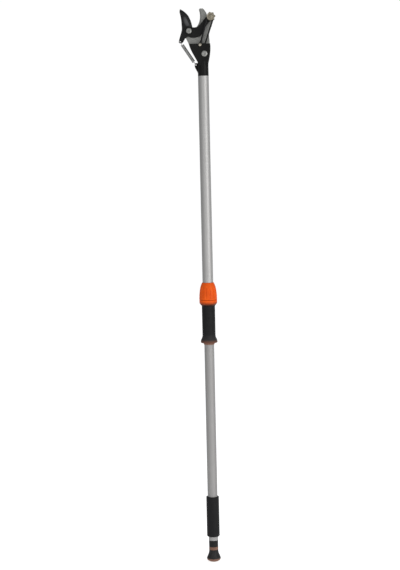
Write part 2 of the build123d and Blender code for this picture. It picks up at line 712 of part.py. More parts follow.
def rope_ferrule():
    """Brass eye crimped on the rope's end, free to swing on the anchor pin."""
    up, _ = rope_path()
    y0, y1 = ROPE_Y - FERRULE_HALF_W, ROPE_Y + FERRULE_HALF_W
    eye = cross_bar(ANCHOR, 4.6, y0, y1)
    along = Vector(cos(radians(up)), 0, sin(radians(up)))
    base = Plane(origin=(ANCHOR[0], ROPE_Y, ANCHOR[1]), z_dir=along)
    barrel = extrude(base * Circle(3.9), FERRULE_LENGTH)
    return eye + barrel - cross_bar(ANCHOR, ANCHOR_PIN_R + RUN_GAP, y0, y1)


def anchor_pin():
    """Brass pin with a domed head that holds the rope's ferrule in the housing."""
    front = HOUSING_Y[0]
    profile = [
        (0, front - 4.2),
        (2.4, front - 3.9),
        (4.3, front - 2.6),
        (5.2, front - 0.9),
        (5.2, front),
        (ANCHOR_PIN_R, front),
        (ANCHOR_PIN_R, HOOK_Y[0]),
        (0, HOOK_Y[0]),
    ]
    return cross_turned(ANCHOR, profile)


# ---------------------------------------------------------------- return spring
def return_spring():
    """Tension spring from the blade's tail to the housing's lug, as a sleeve with wire eyes."""
    span = (EAR_HOLE[0] - TAIL_HOLE[0], EAR_HOLE[1] - TAIL_HOLE[1])
    length = hypot(*span)
    along = Vector(span[0] / length, 0, span[1] / length)
    origin = Vector(TAIL_HOLE[0], SPRING_Y, TAIL_HOLE[1])
    base = Plane(origin=origin, x_dir=(0, 1, 0), z_dir=along)
    coil = Pos(0, 0, SPRING_COIL[0]) * extrude(
        Circle(SPRING_R) - Circle(SPRING_R - 2 * SPRING_WIRE_R), SPRING_COIL[1] - SPRING_COIL[0]
    )
    eye = Rot(90, 0, 0) * Torus(SPRING_EYE_R, SPRING_WIRE_R)
    spring = coil
    for eye_at, coil_at in ((SPRING_EYE_R, SPRING_COIL[0]), (length - SPRING_EYE_R, SPRING_COIL[1])):
        inward = 1 if coil_at > eye_at else -1
        shank_from = eye_at + inward * SPRING_EYE_R
        spring += Pos(0, 0, eye_at) * eye
        spring += Pos(0, 0, min(shank_from, coil_at)) * extrude(
            Circle(SPRING_WIRE_R), abs(coil_at - shank_from) + 0.5
        )
        cap_z = coil_at if inward > 0 else coil_at - 2 * SPRING_WIRE_R
        spring += Pos(0, 0, cap_z) * extrude(Circle(SPRING_R - SPRING_WIRE_R), 2 * SPRING_WIRE_R)
    return base * spring


def main():
    body = housing_body()
    nodes = {
        "inner_tube": inner_tube(),
        "outer_tube": outer_tube(),
        "tube_top_bush": tube_top_bush(),
        "lower_grip": lower_grip(),
        "end_bush": end_bush(),
        "knob_stem": knob_stem(),
        "knob_band": knob_band(),
        "knob_body": knob_body(),
        "knob_cap": knob_cap(),
        "rope_stop": rope_stop(),
        "rope_lower": rope_lower(),
        "slider_core": slider_core(),
        "slider_grip": slider_grip(),
        "slider_ring": slider_ring(),
        "rope_clamp": rope_clamp(),
        "rope_upper": rope_upper(),
        "lock_body": lock_body(),
        "wiper_ring": wiper_ring(),
        "collet": collet(),
        "collar_nut": collar_nut(),
        "hook_plate": hook_plate(),
        "cutting_blade": cutting_blade(),
        "lever_arm": lever_arm(),
        "pivot_bush": pivot_bush(),
        "blade_rivets": blade_rivets(),
        "rope_keeper": rope_keeper(),
        "pulley_wheel": pulley_wheel(),
        "pulley_axle": pulley_axle(),
        "axle_nut": axle_nut(),
        "guide_roller": guide_roller(),
        "roller_spacers": roller_spacers(),
        "pivot_bolt": pivot_bolt(),
        "pivot_washers": pivot_washers(),
        "pivot_nut": pivot_nut(),
        "housing_front": housing_front(body),
        "housing_rear": housing_rear(body),
        "housing_bolt": housing_bolt(),
        "housing_nut": housing_nut(),
        "housing_screws": housing_screws(),
        "tube_screws": tube_screws(),
        "rope_head": rope_head(),
        "rope_ferrule": rope_ferrule(),
        "anchor_pin": anchor_pin(),
        "return_spring": return_spring(),
    }
    os.makedirs("parts", exist_ok=True)
    for name, shape in nodes.items():
        export_step(shape, f"parts/{name}.step")


main()
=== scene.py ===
"""Looks of the telescoping pole pruner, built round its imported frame.

Metres. +Z runs up the pole, +X to the hook's side of the jaw, -Y is the face with the pulley.
The braided rope in the head and the return spring are made here; every CAD node keeps its
shape and gets a node-based material by its slot.
"""

import json
from math import asin, atan2, cos, hypot, pi, radians, sin

import bpy
import numpy as np
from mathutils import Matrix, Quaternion, Vector


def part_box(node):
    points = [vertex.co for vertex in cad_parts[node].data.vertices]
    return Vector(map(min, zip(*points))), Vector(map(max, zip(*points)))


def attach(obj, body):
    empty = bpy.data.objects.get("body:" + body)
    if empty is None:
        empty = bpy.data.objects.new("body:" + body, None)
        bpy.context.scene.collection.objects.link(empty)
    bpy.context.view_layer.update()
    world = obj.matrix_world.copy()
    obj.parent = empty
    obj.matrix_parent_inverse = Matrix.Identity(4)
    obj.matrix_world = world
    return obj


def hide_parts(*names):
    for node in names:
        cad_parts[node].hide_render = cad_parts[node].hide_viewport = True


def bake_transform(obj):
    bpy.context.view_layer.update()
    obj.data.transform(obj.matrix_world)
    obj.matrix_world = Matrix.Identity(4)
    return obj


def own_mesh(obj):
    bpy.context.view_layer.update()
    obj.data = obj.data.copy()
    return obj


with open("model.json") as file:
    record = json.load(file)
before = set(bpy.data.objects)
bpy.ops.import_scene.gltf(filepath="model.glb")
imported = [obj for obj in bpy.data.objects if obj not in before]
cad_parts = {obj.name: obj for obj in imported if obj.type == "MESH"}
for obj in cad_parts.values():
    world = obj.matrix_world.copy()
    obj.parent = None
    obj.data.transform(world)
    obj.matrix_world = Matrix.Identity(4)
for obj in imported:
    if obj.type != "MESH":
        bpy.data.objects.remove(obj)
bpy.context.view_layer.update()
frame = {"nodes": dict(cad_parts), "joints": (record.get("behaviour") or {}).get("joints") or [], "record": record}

MM = 0.001

# ---- places in the X, Z plane, from the frame's joints ----
JOINTS = {joint["name"]: joint for joint in frame["joints"]}


def joint_place(name):
    """A hinge's place in the X, Z plane."""
    x, _, z = JOINTS[name]["pos_m"]
    return np.array((x, z))


PIVOT = joint_place("blade_close")
WHEEL = joint_place("pulley_spin")
ROLLER = joint_place("roller_spin")
ANCHOR = joint_place("ferrule_swing")

# ---- rope ----
ROPE_R = 2.5 * MM
WHEEL_ROPE_R = 9.2 * MM  # from the wheel's centre to the rope's centreline
ROLLER_ROPE_R = 7.2 * MM
FERRULE_LENGTH = 10 * MM
ROPE_Y = JOINTS["pulley_spin"]["pos_m"][1]
ROPE_END_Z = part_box("rope_head")[0].z
ROPE_STEP = 0.4 * MM
ROPE_SIDES = 48
BRAID_STRANDS = 8
BRAID_CELL = 2.3 * MM
BRAID_DEPTH = 0.28 * MM
WRAP_SPARE = radians(13)  # extra wrap that stays in the groove as the lever swings

# ---- wear, dirt, painted highlight and painted shade, by their places on the object ----
PAINTED_SHEEN_AT = PIVOT + np.array((-6.0, 27.0)) * MM  # painted highlight, an oval on the blade's face
PAINTED_SHEEN_ALONG = (0.39, -0.92)
PAINTED_SHEEN_HALF = (20 * MM, 8.5 * MM)
MOUTH_SHADE_AT = PIVOT + np.array((34.1, 43.0)) * MM  # painted shade on the hook, along the jaw's mouth
MOUTH_SHADE_ALONG = (-0.02, 1.0)
MOUTH_SHADE_HALF = (34 * MM, 4.8 * MM)
KNOB_DUST_Z = (30 * MM, 90 * MM)  # full below the first height, none above the second
LOCK_FOOT_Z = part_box("lock_body")[0].z
# painted shade at the foot of the lock's ring: full below the first height, faint above the second
RING_FOOT_SHADE_Z = (LOCK_FOOT_Z + 3 * MM, LOCK_FOOT_Z + 13 * MM)
SLIDER_FOOT_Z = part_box("slider_grip")[0].z
BETWEEN_GRIPS_Z = (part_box("lower_grip")[1].z + SLIDER_FOOT_Z) / 2
# painted shade: a dim orange on the slider's rim, for the orange ring in shade below the flare
PAINTED_RIM_Z = (SLIDER_FOOT_Z + 0.5 * MM, SLIDER_FOOT_Z + 10 * MM)
FLARE_DUST_Z = (SLIDER_FOOT_Z + 10 * MM, SLIDER_FOOT_Z + 26 * MM)

# ---- return spring, from the hole in the blade's tail to the hole in the housing's ear ----
WIRE_R = 0.75 * MM
SPRING_LOW, SPRING_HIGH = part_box("return_spring")  # half a wire past the middle of each hole
TAIL_HOLE = np.array((SPRING_LOW.x + WIRE_R, SPRING_HIGH.z - WIRE_R))
EAR_HOLE = np.array((SPRING_HIGH.x - WIRE_R, SPRING_LOW.z + WIRE_R))
SPRING_Y = (SPRING_LOW.y + SPRING_HIGH.y) / 2
COIL_R = 4.25 * MM
EYE_R = 3.7 * MM
COIL_START = 11.0 * MM  # coil's ends, measured from the tail hole
COIL_END = 72.5 * MM
WIRE_PITCH = 1.53 * MM
WIRE_SIDES = 10
COIL_STEPS = 24  # points in a turn of the coil
LEAD_STEPS = 12  # points between a hook and the coil


# ---------------------------------------------------------------- meshes
def make_piece(name, points, faces, slot):
    """A mesh object from points and faces, with the material of its slot."""
    mesh = bpy.data.meshes.new(name)
    mesh.from_pydata([tuple(p) for p in points], [], faces)
    mesh.update()
    mesh.polygons.foreach_set("use_smooth", [True] * len(mesh.polygons))
    piece = bpy.data.objects.new(name, mesh)
    bpy.context.scene.collection.objects.link(piece)
    piece.data.materials.append(MATERIALS[slot])
    return piece


def tube_faces(rings, sides):
    """Quads of a tube of point rings, with its two ends closed."""
    faces = []
    for i in range(rings - 1):
        for j in range(sides):
            k = (j + 1) % sides
            faces.append((i * sides + j, i * sides + k, (i + 1) * sides + k, (i + 1) * sides + j))
    last = (rings - 1) * sides
    faces.append(tuple(reversed(range(sides))))
    faces.append(tuple(range(last, last + sides)))
    return faces


def polar(centre, radius, angle):
    """A point of the X, Z plane at an angle from +X."""
    return centre + radius * np.array((cos(angle), sin(angle)))


def run_points(start, end):
    """Even steps along a straight run."""
    count = max(2, round(np.linalg.norm(end - start) / ROPE_STEP))
    return [start + (end - start) * i / count for i in range(count + 1)]


def arc_points(centre, radius, start, turn):
    """Even steps along an arc."""
    count = max(2, round(radius * abs(turn) / ROPE_STEP))
    return [polar(centre, radius, start + turn * i / count) for i in range(count + 1)]


def braid_height(around, along):
    """Relief of a diamond braid, 0 to 1, by the turn round the rope and the distance along it.

    Powers under 1 fill the strands out, more so along them than across.
    """
    a = around * BRAID_STRANDS + along / BRAID_CELL
    b = around * BRAID_STRANDS - along / BRAID_CELL
    over = (np.floor(a) + np.floor(b)) % 2 == 0
    across = np.where(over, a, b) % 1
    lengthwise = np.where(over, b, a) % 1
    return np.sin(pi * across) ** 0.6 * np.sin(pi * lengthwise) ** 0.35


def braided_rope(name, line):
    """Round braided rope along a line of points in the X, Z plane."""
    line = np.array(line)
    steps = np.linalg.norm(np.diff(line, axis=0), axis=1)
    along = np.concatenate(([0], np.cumsum(steps)))
    tangent = np.gradient(line, axis=0)
    tangent /= np.linalg.norm(tangent, axis=1)[:, None]
    side = np.stack((tangent[:, 1], -tangent[:, 0]), axis=1)
    around = np.arange(ROPE_SIDES) / ROPE_SIDES
    relief = braid_height(around[None, :], along[:, None])
    radius = ROPE_R - BRAID_DEPTH * (1 - relief)
    in_plane = radius * np.cos(2 * pi * around)
    points = np.empty((len(line), ROPE_SIDES, 3))
    points[:, :, 0] = line[:, 0:1] + in_plane * side[:, 0:1]
    points[:, :, 1] = ROPE_Y + radius * np.sin(2 * pi * around)
    points[:, :, 2] = line[:, 1:2] + in_plane * side[:, 1:2]
    return make_piece(name, points.reshape(-1, 3), tube_faces(len(line), ROPE_SIDES), "rope")


def rope_angles(wheel):
    """Directions of the rope's run up to the wheel and of its run down to the roller."""
    to_wheel = wheel - ANCHOR
    up = atan2(to_wheel[1], to_wheel[0]) + asin(WHEEL_ROPE_R / hypot(*to_wheel))
    between = wheel - ROLLER
    crossing = asin((WHEEL_ROPE_R + ROLLER_ROPE_R) / hypot(*between))
    return up, atan2(between[1], between[0]) - crossing


def squash_to(piece):
    """Gives a taut run a mesh of its own."""
    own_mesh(piece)


def make_rope():
    """The rope from its ferrule, over the pulley, down past the guide roller and into the neck."""
    up, down = rope_angles(WHEEL)
    wheel_in = polar(WHEEL, WHEEL_ROPE_R, up + pi / 2)
    wheel_out = polar(WHEEL, WHEEL_ROPE_R, down - pi / 2)
    roller_in = polar(ROLLER, ROLLER_ROPE_R, down + pi / 2)
    roller_out = polar(ROLLER, ROLLER_ROPE_R, pi)

    start = polar(ANCHOR, FERRULE_LENGTH, up)
    rising = braided_rope("rope_rising_run", run_points(start, wheel_in))
    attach(rising, "upper_pole")
    squash_to(rising)

    wrap_start = up + pi / 2 + WRAP_SPARE
    wrapped = arc_points(WHEEL, WHEEL_ROPE_R, wrap_start, down - pi / 2 - wrap_start)
    wrap = braided_rope("rope_over_pulley", wrapped)
    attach(wrap, "lever")

    falling = braided_rope("rope_falling_run", run_points(roller_in, wheel_out))
    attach(falling, "upper_pole")
    squash_to(falling)

    bend = arc_points(ROLLER, ROLLER_ROPE_R, down + pi / 2, pi / 2 - down)
    drop = run_points(roller_out, np.array((roller_out[0], ROPE_END_Z)))
    neck = braided_rope("rope_into_neck", bend + drop[1:])
    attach(neck, "upper_pole")
    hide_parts("rope_head")


def smooth(t):
    """0 to 1 with a soft start and end."""
    return t * t * (3 - 2 * t)


def spring_line():
    """Centreline of the spring's wire, hook, close coil and hook.

    Each point is (across, y, along), with along measured from the tail hole to the ear hole.
    """
    length = float(np.linalg.norm(EAR_HOLE - TAIL_HOLE))
    line = []
    for degrees in range(-150, 181, 10):  # each hook is an eye of 330 degrees
        angle = radians(degrees)
        line.append((0, EYE_R * sin(angle), EYE_R * (1 - cos(angle))))
    near = 2 * EYE_R
    for step in range(1, LEAD_STEPS):
        t = step / LEAD_STEPS
        angle = -pi / 2 * (1 - t)
        out = COIL_R * smooth(t)
        line.append((out * cos(angle), out * sin(angle), near + (COIL_START - near) * t))
    steps = int((COIL_END - COIL_START) / WIRE_PITCH * COIL_STEPS)
    for step in range(steps + 1):
        turn = step / COIL_STEPS
        angle = 2 * pi * turn
        line.append((COIL_R * cos(angle), COIL_R * sin(angle), COIL_START + WIRE_PITCH * turn))
    last_angle = 2 * pi * steps / COIL_STEPS
    far = length - 2 * EYE_R
    for step in range(1, LEAD_STEPS):
        t = step / LEAD_STEPS
        angle = last_angle + pi / 2 * t
        out = COIL_R * (1 - smooth(t))
        line.append((out * cos(angle), out * sin(angle), COIL_END + (far - COIL_END) * t))
    for degrees in range(-180, 151, 10):
        angle = radians(degrees)
        line.append((0, EYE_R * sin(angle), length - EYE_R * (1 - cos(angle))))
    return np.array(line)


def make_spring():
    """The return spring's round wire, swept along its centreline."""
    local = spring_line()
    axis = (EAR_HOLE - TAIL_HOLE) / np.linalg.norm(EAR_HOLE - TAIL_HOLE)
    across = np.array((axis[1], -axis[0]))
    line = np.empty_like(local)
    line[:, 0] = TAIL_HOLE[0] + local[:, 0] * across[0] + local[:, 2] * axis[0]
    line[:, 1] = SPRING_Y + local[:, 1]
    line[:, 2] = TAIL_HOLE[1] + local[:, 0] * across[1] + local[:, 2] * axis[1]
    tangent = np.gradient(line, axis=0)
    tangent /= np.linalg.norm(tangent, axis=1)[:, None]
    normal = np.cross(tangent[0], (0.3, 0.9, 0.1))  # any start that isn't along the wire
    points = []
    for here, forward in zip(line, tangent):
        normal = normal - forward * (normal @ forward)
        normal /= np.linalg.norm(normal)
        other = np.cross(forward, normal)
        for j in range(WIRE_SIDES):
            angle = 2 * pi * j / WIRE_SIDES
            points.append(here + WIRE_R * (cos(angle) * normal + sin(angle) * other))
    wire = make_piece("spring_wire", points, tube_faces(len(line), WIRE_SIDES), "spring_steel")
    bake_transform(wire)
    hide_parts("return_spring")


# ---------------------------------------------------------------- material building
# A mix node repeats its socket names for each data type, so its colour sockets go by number.
MIX_A, MIX_B, MIX_RESULT = 6, 7, 2
EDGE_BEND = (0.01, 0.12)  # 1 minus the cosine of the softened normal's lean: none, full


class Finish:
    """A material's node tree, plain at first, with short ways to add nodes."""

    def __init__(self, name, color, roughness, metallic=0.0):
        self.material = bpy.data.materials.new(name)
        self.material.use_nodes = True
        self.nodes = self.material.node_tree.nodes
        self.links = self.material.node_tree.links
        self.shader = self.nodes["Principled BSDF"]
        self.shader.inputs["Metallic"].default_value = metallic
        self.set(self.shader.inputs["Base Color"], color)
        self.set(self.shader.inputs["Roughness"], roughness)
        self.place = self.nodes.new("ShaderNodeTexCoord").outputs["Object"]

    def set(self, socket, value):
        """Gives a socket a number or colour, or links another socket to it."""
        if isinstance(value, bpy.types.NodeSocket):
            self.links.new(value, socket)
        elif isinstance(value, tuple) and len(value) == 3 and socket.type == "RGBA":
            socket.default_value = (*value, 1)
        else:
            socket.default_value = value

    def surface(self, **inputs):
        """Sets the shader's own sockets; underscores stand for spaces."""
        for name, value in inputs.items():
            self.set(self.shader.inputs[name.replace("_", " ")], value)

    def tone(self):
        """The socket that the shader's colour comes from."""
        return self.shader.inputs["Base Color"].links[0].from_socket

    def scaled(self, stretch):
        """Object coordinates, scaled differently along each axis."""
        node = self.nodes.new("ShaderNodeVectorMath")
        node.operation = "MULTIPLY"
        self.links.new(self.place, node.inputs[0])
        node.inputs[1].default_value = stretch
        return node.outputs[0]

    def noise(self, scale, detail=3.0, stretch=(1, 1, 1), warp=0.0):
        """Soft noise, 0 to 1; scale is features per metre."""
        node = self.nodes.new("ShaderNodeTexNoise")
        self.links.new(self.scaled(stretch), node.inputs["Vector"])
        node.inputs["Scale"].default_value = scale
        node.inputs["Detail"].default_value = detail
        node.inputs["Distortion"].default_value = warp
        return node.outputs["Fac"]

    def cells(self, scale):
        """Distance to the nearest cell point, for a pebbled skin."""
        node = self.nodes.new("ShaderNodeTexVoronoi")
        self.links.new(self.place, node.inputs["Vector"])
        node.inputs["Scale"].default_value = scale
        return node.outputs["Distance"]

    def maths(self, operation, a, b=0.0):
        """One step of arithmetic on numbers or sockets."""
        node = self.nodes.new("ShaderNodeMath")
        node.operation = operation
        self.set(node.inputs[0], a)
        self.set(node.inputs[1], b)
        return node.outputs[0]

    def span(self, value, low, high, to_low=0.0, to_high=1.0):
        """Maps low..high to another range and holds it there."""
        node = self.nodes.new("ShaderNodeMapRange")
        node.inputs["From Min"].default_value = low
        node.inputs["From Max"].default_value = high
        node.inputs["To Min"].default_value = to_low
        node.inputs["To Max"].default_value = to_high
        self.links.new(value, node.inputs["Value"])
        return node.outputs["Result"]

    def mix(self, factor, a, b):
        """Colour between a and b."""
        node = self.nodes.new("ShaderNodeMix")
        node.data_type = "RGBA"
        self.set(node.inputs["Factor"], factor)
        self.set(node.inputs[MIX_A], a)
        self.set(node.inputs[MIX_B], b)
        return node.outputs[MIX_RESULT]

    def bump(self, height, distance, strength=1.0, under=None):
        """A surface relief of a real depth in metres, on top of another one."""
        node = self.nodes.new("ShaderNodeBump")
        node.inputs["Distance"].default_value = distance
        node.inputs["Strength"].default_value = strength
        self.links.new(height, node.inputs["Height"])
        if under is not None:
            self.links.new(under, node.inputs["Normal"])
        return node.outputs["Normal"]

    def rounded(self, radius):
        """The surface normal with its sharp edges softened."""
        node = self.nodes.new("ShaderNodeBevel")
        node.samples = 4
        node.inputs["Radius"].default_value = radius
        return node.outputs["Normal"]

    def edges(self, radius):
        """1 along sharp edges and 0 away from them."""
        geometry = self.nodes.new("ShaderNodeNewGeometry")
        dot = self.nodes.new("ShaderNodeVectorMath")
        dot.operation = "DOT_PRODUCT"
        self.links.new(self.rounded(radius), dot.inputs[0])
        self.links.new(geometry.outputs["Normal"], dot.inputs[1])
        return self.span(self.maths("SUBTRACT", 1.0, dot.outputs["Value"]), *EDGE_BEND)

    def coordinate(self, letter):
        """One object coordinate."""
        node = self.nodes.new("ShaderNodeSeparateXYZ")
        self.links.new(self.place, node.inputs[0])
        return node.outputs[letter]

    def patch(self, centre, along, half):
        """1 at the centre of a soft oval in the X, Z plane and 0 outside it."""
        x = self.maths("SUBTRACT", self.coordinate("X"), centre[0])
        z = self.maths("SUBTRACT", self.coordinate("Z"), centre[1])
        squares = []
        for (a, b), size in ((along, half[0]), ((-along[1], along[0]), half[1])):
            reach = self.maths("MULTIPLY", x, a / size)
            reach = self.maths("ADD", reach, self.maths("MULTIPLY", z, b / size))
            squares.append(self.maths("MULTIPLY", reach, reach))
        return self.span(self.maths("ADD", *squares), 0.0, 1.0, 1.0, 0.0)


# ---------------------------------------------------------------- materials
UPPER_TUBE_TONES = ((0.41, 0.404, 0.394), (0.48, 0.473, 0.463))
LOWER_TUBE_TONES = ((0.385, 0.377, 0.37), (0.45, 0.441, 0.434))


def anodised_tube(name, tones, roughness):
    """Satin anodised drawn tube: fine lines along it, cloudy tone, a few rub marks."""
    dark, light = tones
    f = Finish(name, light, roughness, 1.0)
    drawn = f.noise(1.0, 5, stretch=(2600, 2600, 14))
    cloud = f.noise(9, 3, stretch=(6, 6, 1))
    rubs = f.span(f.noise(1.0, 2, stretch=(90, 90, 650), warp=0.4), 0.66, 0.74)
    tone = f.mix(drawn, dark, light)
    tone = f.mix(f.span(cloud, 0.3, 0.7, 0, 0.2), tone, dark)
    tone = f.mix(f.maths("MULTIPLY", rubs, 0.15), tone, tuple(c * 0.8 for c in dark))
    spread = f.span(drawn, 0.25, 0.75, roughness - 0.04, roughness + 0.04)
    spread = f.maths("ADD", spread, f.maths("MULTIPLY", rubs, 0.06))
    grain = f.bump(f.noise(5200, 2), 0.006 * MM, 0.4, f.bump(drawn, 0.004 * MM, 0.4))
    f.surface(Base_Color=tone, Roughness=spread, Normal=grain)
    return f.material


def moulded(name, dark, light, gloss, grain=2600):
    """Moulded plastic: spark-eroded grain, slight flow marks and polished edges."""
    f = Finish(name, dark, gloss)
    flow = f.noise(28, 4, warp=0.6)
    fine = f.noise(grain, 2)
    edge = f.edges(0.5 * MM)
    tone = f.mix(f.span(flow, 0.35, 0.7), dark, light)
    polished = tuple(min(1, c * 1.6 + 0.012) for c in light)
    tone = f.mix(f.maths("MULTIPLY", edge, 0.3), tone, polished)
    roughness = f.span(fine, 0.3, 0.7, gloss - 0.05, gloss + 0.07)
    roughness = f.maths("ADD", roughness, f.maths("MULTIPLY", edge, -0.12))
    relief = f.bump(fine, 0.03 * MM, 0.55, f.rounded(0.4 * MM))
    f.surface(Base_Color=tone, Roughness=roughness, Normal=relief)
    return f


def black_plastic():
    """Black moulding, with the grey dust that an end knob gathers near the ground."""
    f = moulded("black_plastic", (0.0034, 0.0033, 0.0030), (0.0065, 0.0063, 0.0058), 0.44)
    low = f.span(f.coordinate("Z"), *KNOB_DUST_Z, 1.0, 0.0)
    dust = f.maths("MULTIPLY", low, f.span(f.noise(90, 5), 0.2, 0.7, 0.55, 1.0))
    f.surface(Base_Color=f.mix(dust, f.tone(), (0.027, 0.0265, 0.026)), Specular_IOR_Level=0.15)
    return f.material


def orange_plastic():
    """Orange moulding, with painted shade at the foot of the lock's ring."""
    f = moulded("orange_plastic", (0.75, 0.087, 0.003), (0.88, 0.119, 0.004), 0.46, 1900)
    # painted shade: darker towards the foot of the lock's ring
    ring_foot_shade = f.span(f.coordinate("Z"), *RING_FOOT_SHADE_Z, 1.0, 0.05)
    f.surface(Base_Color=f.mix(ring_foot_shade, f.tone(), (0.05, 0.014, 0.006)), Specular_IOR_Level=0.16)
    return f.material


def dull_orange_plastic():
    """The band on the knob, a dull brownish orange."""
    f = moulded("dull_orange_plastic", (0.20, 0.105, 0.072), (0.27, 0.147, 0.105), 0.5, 1900)
    f.surface(Specular_IOR_Level=0.2)
    return f.material


def grip_rubber():
    """Matte rubber: pebbled skin, dust on the slider's flare, and its rim painted a dim orange for the orange ring
    in shade below the flare.
    """
    f = Finish("grip_rubber", (0.009, 0.009, 0.010), 0.62)
    pebble = f.cells(1100)
    dust = f.span(f.noise(70, 5, warp=0.3), 0.5, 0.75)
    tone = f.mix(f.maths("MULTIPLY", dust, 0.35), (0.0075, 0.0075, 0.0085), (0.021, 0.021, 0.022))
    tone = f.mix(f.span(pebble, 0.2, 0.75, 0, 0.3), tone, (0.004, 0.004, 0.0045))
    height = f.coordinate("Z")
    on_slider = f.maths("GREATER_THAN", height, BETWEEN_GRIPS_Z)
    flare = f.maths("MULTIPLY", on_slider, f.span(height, *FLARE_DUST_Z, 0.75, 0.0))
    tone = f.mix(flare, tone, (0.036, 0.034, 0.034))
    # painted shade: a dim orange on the rim, for the orange ring in shade below the flare
    rim = f.maths("MULTIPLY", on_slider, f.span(height, *PAINTED_RIM_Z, 1.0, 0.0))
    tone = f.mix(rim, tone, (0.16, 0.062, 0.036))
    relief = f.bump(pebble, 0.07 * MM, 0.6, f.rounded(0.5 * MM))
    relief = f.bump(f.noise(4200, 2), 0.02 * MM, 0.4, relief)
    f.surface(Base_Color=tone, Roughness=f.span(dust, 0, 1, 0.56, 0.72), Normal=relief)
    f.surface(Specular_IOR_Level=0.2)
    return f.material


def bush_plastic():
    """Pale grey acetal, slightly waxy."""
    f = Finish("bush_plastic", (0.36, 0.355, 0.345), 0.46)
    tone = f.mix(f.span(f.noise(60, 4), 0.35, 0.75), (0.37, 0.365, 0.357), (0.30, 0.296, 0.288))
    f.surface(Base_Color=tone, Normal=f.bump(f.noise(2400, 2), 0.02 * MM, 0.5, f.rounded(0.4 * MM)))
    f.surface(Subsurface_Weight=0.08, Subsurface_Scale=0.4)
    f.surface(Subsurface_Radius=(3 * MM, 3 * MM, 2.8 * MM))
    return f.material


def plated(name, dark, light, roughness, grain):
    """Plated or ground steel: mottled tone, fine lines across it, brighter worn edges."""
    f = Finish(name, light, roughness, 1.0)
    mottle = f.noise(170, 4, warp=0.5)
    lines = f.noise(1.0, 4, stretch=grain)
    edge = f.edges(0.4 * MM)
    tone = f.mix(f.span(mottle, 0.35, 0.7), dark, light)
    tone = f.mix(f.span(lines, 0.3, 0.75, 0, 0.3), tone, dark)
    tone = f.mix(f.maths("MULTIPLY", edge, 0.5), tone, tuple(min(1, c * 1.35) for c in light))
    spread = f.span(lines, 0.3, 0.7, roughness - 0.07, roughness + 0.09)
    relief = f.bump(lines, 0.015 * MM, 0.7, f.rounded(0.4 * MM))
    f.surface(Base_Color=tone, Roughness=spread, Normal=relief)
    return f


def zinc_steel():
    """Bolts, nuts and washers."""
    f = plated("zinc_steel", (0.25, 0.25, 0.238), (0.40, 0.40, 0.38), 0.4, (700, 700, 700))
    return f.material


def hook_steel():
    """Ground steel, with painted shade along the edge of the jaw's mouth."""
    f = plated("hook_steel", (0.225, 0.225, 0.213), (0.30, 0.30, 0.282), 0.5, (40, 900, 2600))
    # painted shade: a dark oval along the edge of the jaw's mouth
    mouth_shade = f.maths("MULTIPLY", f.patch(MOUTH_SHADE_AT, MOUTH_SHADE_ALONG, MOUTH_SHADE_HALF), 0.75)
    f.surface(Base_Color=f.mix(mouth_shade, f.tone(), (0.10, 0.10, 0.093)))
    return f.material


def spring_steel():
    """The return spring's wire."""
    f = plated("spring_steel", (0.34, 0.34, 0.33), (0.46, 0.46, 0.45), 0.58, (900, 900, 900))
    return f.material


def black_steel():
    """Black coated steel: fine orange peel, grey steel showing faintly on worn edges."""
    black = (0.0032, 0.0031, 0.0028)
    f = Finish("black_steel", black, 0.46)
    peel = f.noise(900, 3)
    edge = f.maths("MULTIPLY", f.edges(0.5 * MM), f.span(f.noise(240, 4), 0.42, 0.62))
    tone = f.mix(f.span(f.noise(35, 4, warp=0.5), 0.35, 0.7), black, tuple(c * 1.7 for c in black))
    tone = f.mix(f.maths("MULTIPLY", edge, 0.55), tone, (0.13, 0.13, 0.127))
    relief = f.bump(peel, 0.03 * MM, 0.5, f.rounded(0.4 * MM))
    f.surface(Base_Color=tone, Normal=relief, Roughness=f.span(peel, 0.3, 0.7, 0.41, 0.54))
    f.surface(Specular_IOR_Level=0.17)
    return f.material


def blade_steel():
    """Low friction coating, black on the bevel, with a painted grey highlight on the face beside it."""
    f = Finish("blade_steel", (0.0055, 0.0055, 0.0058), 0.42)
    geometry = f.nodes.new("ShaderNodeNewGeometry")
    parts = f.nodes.new("ShaderNodeSeparateXYZ")
    f.links.new(geometry.outputs["True Normal"], parts.inputs[0])
    flat = f.span(f.maths("ABSOLUTE", parts.outputs["Y"]), 0.985, 0.995)
    strokes = f.noise(1.0, 4, stretch=(1500, 40, 260))
    edge = f.maths("MULTIPLY", f.edges(0.5 * MM), f.span(f.noise(110, 4, warp=0.4), 0.35, 0.7))
    # painted highlight: a grey oval on the flat face, in place of a reflection of the light
    painted_sheen = f.maths("MULTIPLY", f.patch(PAINTED_SHEEN_AT, PAINTED_SHEEN_ALONG, PAINTED_SHEEN_HALF), flat)
    painted_sheen = f.maths("MULTIPLY", painted_sheen, f.span(strokes, 0.2, 0.7, 0.6, 1.0))
    cloud = f.span(f.noise(40, 4), 0.35, 0.7)
    tone = f.mix(cloud, (0.0030, 0.0030, 0.0031), (0.0070, 0.0070, 0.0072))
    tone = f.mix(painted_sheen, tone, (0.088, 0.088, 0.090))
    tone = f.mix(f.maths("MULTIPLY", edge, 0.12), tone, (0.12, 0.12, 0.115))
    relief = f.bump(strokes, 0.02 * MM, 0.5, f.rounded(0.3 * MM))
    f.surface(Base_Color=tone, Normal=relief, Roughness=f.span(strokes, 0.3, 0.7, 0.38, 0.48))
    f.surface(Specular_IOR_Level=0.2)
    return f.material


